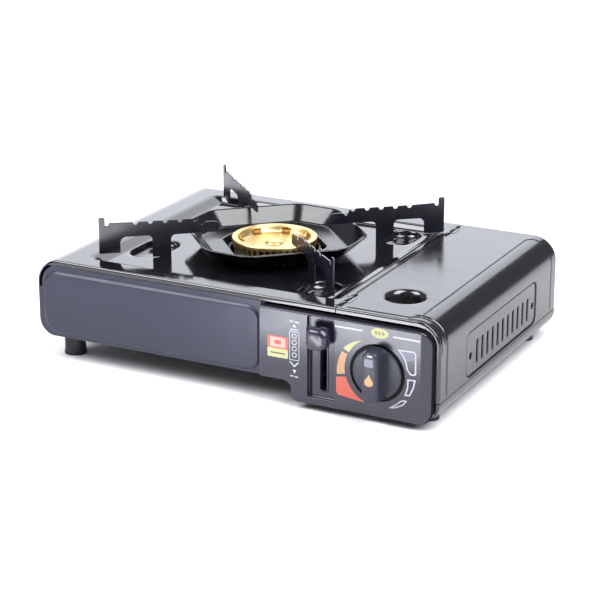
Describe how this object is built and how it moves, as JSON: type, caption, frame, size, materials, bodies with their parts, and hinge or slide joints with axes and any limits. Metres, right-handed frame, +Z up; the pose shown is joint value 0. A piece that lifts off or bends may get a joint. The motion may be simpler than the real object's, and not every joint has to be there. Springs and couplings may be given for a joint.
{
  "type": "camping stove",
  "caption": "Portable cassette gas stove with a lift-off pan support and wind dish, ring burner, hinged canister lid, lock lever and control knob.",
  "frame": {"origin": "middle of the bounding box, at the plane the feet stand on", "axes": "+X to the right as the user faces the controls, +Y to the back, +Z up; the controls face -Y"},
  "size_m": [0.35, 0.26, 0.1139],
  "materials": {
    "case_enamel": "gloss",
    "top_enamel": "high gloss enamel",
    "trivet_enamel": "high gloss enamel",
    "front_paint": "satin",
    "control_plastic": "satin",
    "knob_plastic": "semi-gloss",
    "burner_brass": "satin",
    "cast_alloy": "as cast",
    "dark_steel": "satin",
    "zinc_steel": "zinc plated",
    "gas_copper": "drawn tube",
    "igniter_ceramic": "glazed ceramic",
    "piezo_plastic": "satin",
    "wire_jacket": "silicone",
    "foot_rubber": "matt"
  },
  "bodies": {
    "casing": {"back_panel": "case_enamel", "body_tray": "case_enamel", "burner_body": "cast_alloy", "burner_bracket": "zinc_steel", "burner_cap": "burner_brass", "burner_collar": "dark_steel", "canister_cradle": "zinc_steel", "case_screws": "zinc_steel", "control_panel": "control_plastic", "front_panel": "front_paint", "gas_pipe": "gas_copper", "heat_transfer_plate": "cast_alloy", "igniter_electrode": "zinc_steel", "igniter_insulator": "igniter_ceramic", "ignition_wire": "wire_jacket", "jet_nozzle": "burner_brass", "left_feet": "foot_rubber", "lever_bracket": "zinc_steel", "lever_pivot_pin": "zinc_steel", "lever_spring": "zinc_steel", "lid_hinge_pins": "zinc_steel", "mixing_tube": "zinc_steel", "partition_plate": "zinc_steel", "piezo_housing": "piezo_plastic", "regulator_body": "cast_alloy", "regulator_screws": "zinc_steel", "right_feet": "foot_rubber", "top_plate": "top_enamel", "tube_post": "zinc_steel"},
    "lid": {"canister_lid": "top_enamel"},
    "trivet": {"trivet_dish": "trivet_enamel", "trivet_arm_back_right": "trivet_enamel", "trivet_arm_back_left": "trivet_enamel", "trivet_arm_front_left": "trivet_enamel", "trivet_arm_front_right": "trivet_enamel"},
    "knob": {"control_knob": "knob_plastic", "valve_stem": "burner_brass", "stem_cam": "control_plastic"},
    "plunger": {"piezo_plunger": "piezo_plastic"},
    "lever": {"lock_lever": "zinc_steel", "lever_thumb": "knob_plastic", "lever_drive_pin": "zinc_steel"},
    "carrier": {"canister_carrier": "zinc_steel"}
  },
  "joints": [
    {"name": "lid_hinge", "type": "hinge", "parent": "casing", "child": "lid", "pos_m": [0.0902, 0.01, 0.0828], "axis": [0, -1, 0], "range_deg": [0, 85]},
    {"name": "trivet_lift", "type": "slide", "parent": "casing", "child": "trivet", "axis": [0, 0, 1], "range_m": [0, 0.07]},
    {"name": "knob_turn", "type": "hinge", "parent": "casing", "child": "knob", "pos_m": [0.1272, -0.11, 0.0402], "axis": [0, -1, 0], "range_deg": [0, 135]},
    {"name": "igniter_press", "type": "slide", "parent": "casing", "child": "plunger", "axis": [-1, 0, 0], "range_m": [0, 0.00401]},
    {"name": "lever_turn", "type": "hinge", "parent": "casing", "child": "lever", "pos_m": [0.0818, -0.056, 0.043], "axis": [1, 0, 0], "range_deg": [0, 31], "stiffness_Nm_per_rad": 0.02, "springref_deg": -28.65},
    {"name": "carrier_slide", "type": "slide", "parent": "casing", "child": "carrier", "axis": [0, -1, 0], "range_m": [0, 0.00721]}
  ],
  "couplings": [
    {"joint": "igniter_press", "follows": "knob_turn", "m_per_rad": 0.0016977},
    {"joint": "carrier_slide", "follows": "lever_turn", "m_per_rad": 0.013307}
  ]
}
